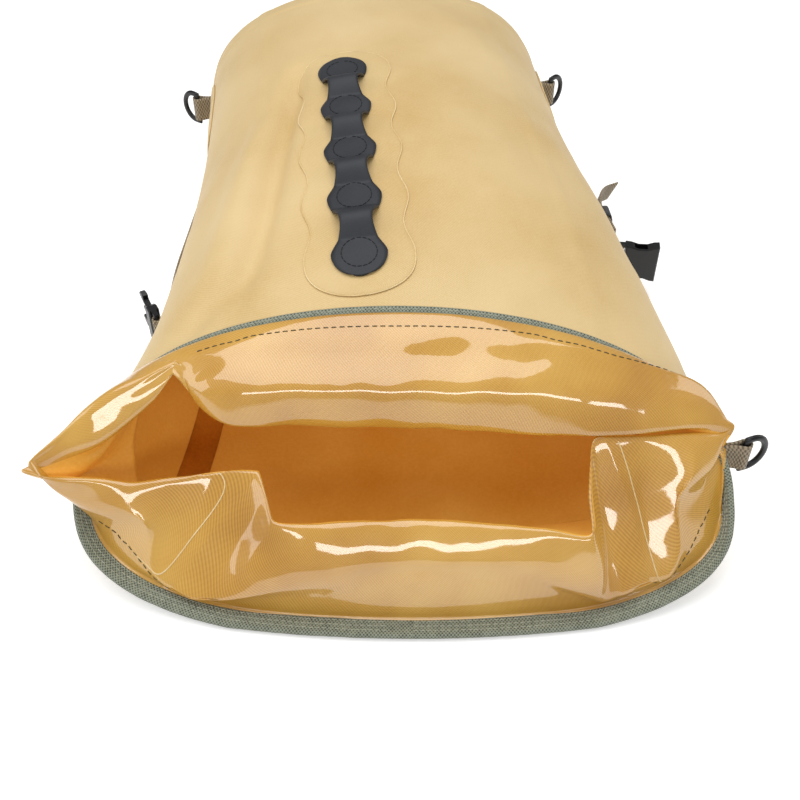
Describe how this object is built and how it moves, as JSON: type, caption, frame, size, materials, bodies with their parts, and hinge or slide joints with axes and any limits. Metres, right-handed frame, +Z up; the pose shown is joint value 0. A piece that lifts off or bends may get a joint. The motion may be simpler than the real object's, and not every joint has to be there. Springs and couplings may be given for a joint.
{
  "type": "motorcycle tail bag",
  "caption": "Roll-top tail bag of coated cloth, lying on its back with its mouth open, with a glossy collar, a lash chain, D-rings and a side-release buckle.",
  "frame": {"origin": "middle of the underside of the back panel, on the surface the bag lies on", "axes": "+Z up, out of the front panel; +Y along the bag from its mouth to its base; +X to the right of someone facing the mouth"},
  "size_m": [0.4487, 0.5548, 0.1806],
  "materials": {
    "shell_cloth": "matte coated twill",
    "gloss_cloth": "twill under a glossy clear film",
    "seam_tape": "satin coated tape",
    "binding_tape": "ribbed woven tape",
    "webbing": "woven webbing",
    "lash_rubber": "matte rubberised cloth",
    "acetal": "satin moulded"
  },
  "bodies": {
    "bag": {"front_panel": "shell_cloth", "back_panel": "shell_cloth", "right_side_panel": "shell_cloth", "left_side_panel": "shell_cloth", "base_panel": "shell_cloth", "front_right_seam_tape": "seam_tape", "front_left_seam_tape": "seam_tape", "back_right_seam_tape": "seam_tape", "back_left_seam_tape": "seam_tape", "base_seam_tape": "seam_tape", "mouth_binding": "binding_tape", "collar_front": "gloss_cloth", "collar_back": "gloss_cloth", "collar_right_gusset": "gloss_cloth", "collar_left_gusset": "gloss_cloth", "lash_patch": "shell_cloth", "lash_chain": "lash_rubber", "mouth_right_tab": "webbing", "mouth_left_tab": "webbing", "base_right_tab": "webbing", "base_left_tab": "webbing", "right_side_patch": "shell_cloth", "left_side_patch": "shell_cloth", "right_strap_anchor": "webbing", "left_strap_anchor": "webbing"},
    "mouth_right_ring": {"mouth_right_d_ring": "acetal"},
    "mouth_left_ring": {"mouth_left_d_ring": "acetal"},
    "base_right_ring": {"base_right_d_ring": "acetal"},
    "base_left_ring": {"base_left_d_ring": "acetal"},
    "right_closure": {"right_strap": "webbing", "right_strap_return": "webbing", "tail_keeper": "lash_rubber"},
    "right_loose_end": {"right_strap_tail": "webbing"},
    "buckle_socket": {"female_buckle": "acetal"},
    "left_closure": {"left_strap": "webbing"},
    "buckle_plug": {"male_buckle": "acetal"},
    "plug_upper_prong": {"upper_prong": "acetal"},
    "plug_lower_prong": {"lower_prong": "acetal"}
  },
  "joints": [
    {"name": "mouth_right_ring_swing", "type": "hinge", "parent": "bag", "child": "mouth_right_ring", "pos_m": [0.1964, -0.194, 0.062], "axis": [0, 0, 1], "range_deg": [-40, 45]},
    {"name": "mouth_left_ring_swing", "type": "hinge", "parent": "bag", "child": "mouth_left_ring", "pos_m": [-0.21717, -0.16, 0.06], "axis": [0, 0, -1], "range_deg": [-100, 15]},
    {"name": "base_right_ring_swing", "type": "hinge", "parent": "bag", "child": "base_right_ring", "pos_m": [0.154, 0.236, 0.07], "axis": [0, 0, 1], "range_deg": [-75, 30]},
    {"name": "base_left_ring_swing", "type": "hinge", "parent": "bag", "child": "base_left_ring", "pos_m": [-0.154, 0.236, 0.07], "axis": [0, 0, -1], "range_deg": [-75, 30]},
    {"name": "right_strap_swing", "type": "hinge", "parent": "bag", "child": "right_closure", "pos_m": [0.1423, 0.16165, 0.032], "axis": [0, 0, 1], "range_deg": [0, 75]},
    {"name": "right_tail_swing", "type": "hinge", "parent": "right_closure", "child": "right_loose_end", "pos_m": [0.17488, 0.098, 0.032], "axis": [0, 0, -1], "range_deg": [-3, 60]},
    {"name": "socket_turn", "type": "hinge", "parent": "right_closure", "child": "buckle_socket", "pos_m": [0.17573, 0.042, 0.032], "axis": [0, 0, 1], "range_deg": [-70, 25]},
    {"name": "left_strap_swing", "type": "hinge", "parent": "bag", "child": "left_closure", "pos_m": [-0.1423, 0.16165, 0.032], "axis": [0, 0, -1], "range_deg": [0, 75]},
    {"name": "plug_turn", "type": "hinge", "parent": "left_closure", "child": "buckle_plug", "pos_m": [-0.17738, -0.012, 0.032], "axis": [0, 0, -1], "range_deg": [-85, 4]},
    {"name": "upper_prong_flex", "type": "hinge", "parent": "buckle_plug", "child": "plug_upper_prong", "pos_m": [-0.18334, 0.00274, 0.0402], "axis": [-0.9272, -0.3746, 0], "range_deg": [0, 8], "stiffness_Nm_per_rad": 0.2},
    {"name": "lower_prong_flex", "type": "hinge", "parent": "buckle_plug", "child": "plug_lower_prong", "pos_m": [-0.18334, 0.00274, 0.0238], "axis": [0.9272, 0.3746, 0], "range_deg": [0, 8], "stiffness_Nm_per_rad": 0.2}
  ]
}
